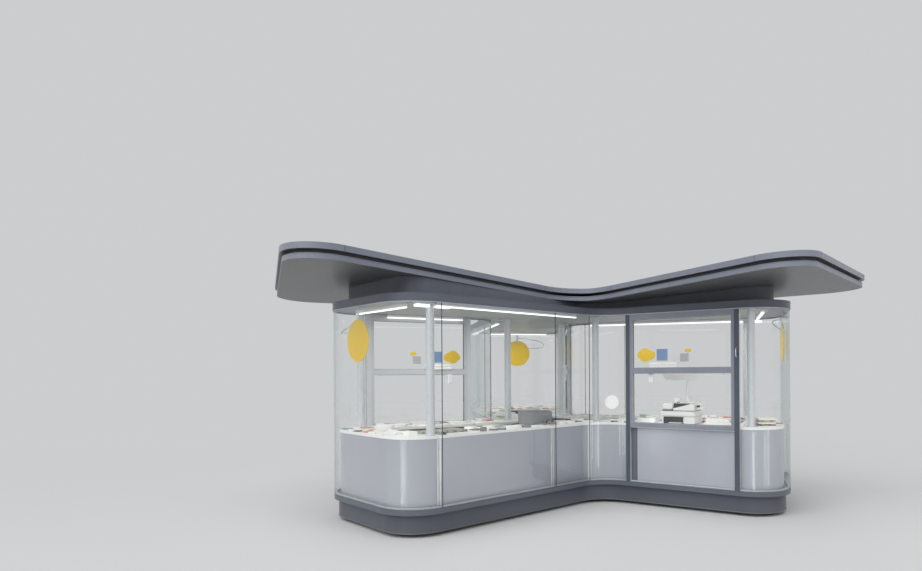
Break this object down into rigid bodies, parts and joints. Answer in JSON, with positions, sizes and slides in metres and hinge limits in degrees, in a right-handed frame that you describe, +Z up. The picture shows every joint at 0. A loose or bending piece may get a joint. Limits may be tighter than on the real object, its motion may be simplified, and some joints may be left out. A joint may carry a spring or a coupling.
{
  "type": "glazed street kiosk",
  "caption": "Three-armed street kiosk: curved glass over white counters, serving windows, and a thin roof whose wings rise outwards.",
  "frame": {"origin": "centre of the three-armed plan on the ground, in the middle of the hub's flat underside", "axes": "+Z up; -Z is the ground mount; the picture's camera looks along +Y"},
  "size_m": [7.4633, 6.848, 2.8436],
  "materials": {
    "frame_steel": "matt dark grey paint",
    "grey_paint": "satin mid-grey paint on sheet metal",
    "roof_paint": "satin light grey paint on sheet metal",
    "groove_paint": "matt dark grey paint",
    "floor": "grey sheet flooring",
    "white_panel": "satin white lacquer on sheet metal",
    "worktop": "white solid-surface worktop",
    "clear_glass": "clear laminated glass with greenish edges",
    "window_frame": "satin anodised aluminium",
    "post_paint": "satin dark grey paint",
    "column_paint": "satin pale grey paint on steel tube",
    "ceiling_white": "matt white paint",
    "light": "lit white diffuser",
    "yellow_sign": "plain yellow sheet with no marks"
  },
  "bodies": {
    "root": {"base_frame": "frame_steel", "ceiling": "ceiling_white", "ceiling_lights": "light", "columns": "column_paint", "end_glass_east": "clear_glass", "end_glass_north": "clear_glass", "end_glass_west": "clear_glass", "end_panel_east": "white_panel", "end_panel_north": "white_panel", "end_panel_west": "white_panel", "fascia_band": "grey_paint", "floor_deck": "floor", "ledge": "grey_paint", "neck": "grey_paint", "roof_core": "groove_paint", "roof_deck": "roof_paint", "roof_soffit": "roof_paint", "round_signs": "yellow_sign", "side_glass_east": "clear_glass", "side_glass_north": "clear_glass", "side_glass_west": "clear_glass", "side_panel_east": "white_panel", "side_panel_north": "white_panel", "side_panel_west": "white_panel", "sign_hangers": "column_paint", "skirt": "grey_paint", "valley_glass_east": "clear_glass", "valley_glass_north": "clear_glass", "valley_glass_west": "clear_glass", "valley_panel_east": "white_panel", "valley_panel_north": "white_panel", "valley_panel_west": "white_panel", "window_apron_east": "white_panel", "window_apron_north": "white_panel", "window_apron_west": "white_panel", "window_frame_east": "window_frame", "window_frame_north": "window_frame", "window_frame_west": "window_frame", "window_glass_east": "clear_glass", "window_glass_north": "clear_glass", "window_glass_west": "clear_glass", "window_posts": "post_paint", "worktop_east": "worktop", "worktop_north": "worktop", "worktop_west": "worktop"}
  },
  "joints": []
}
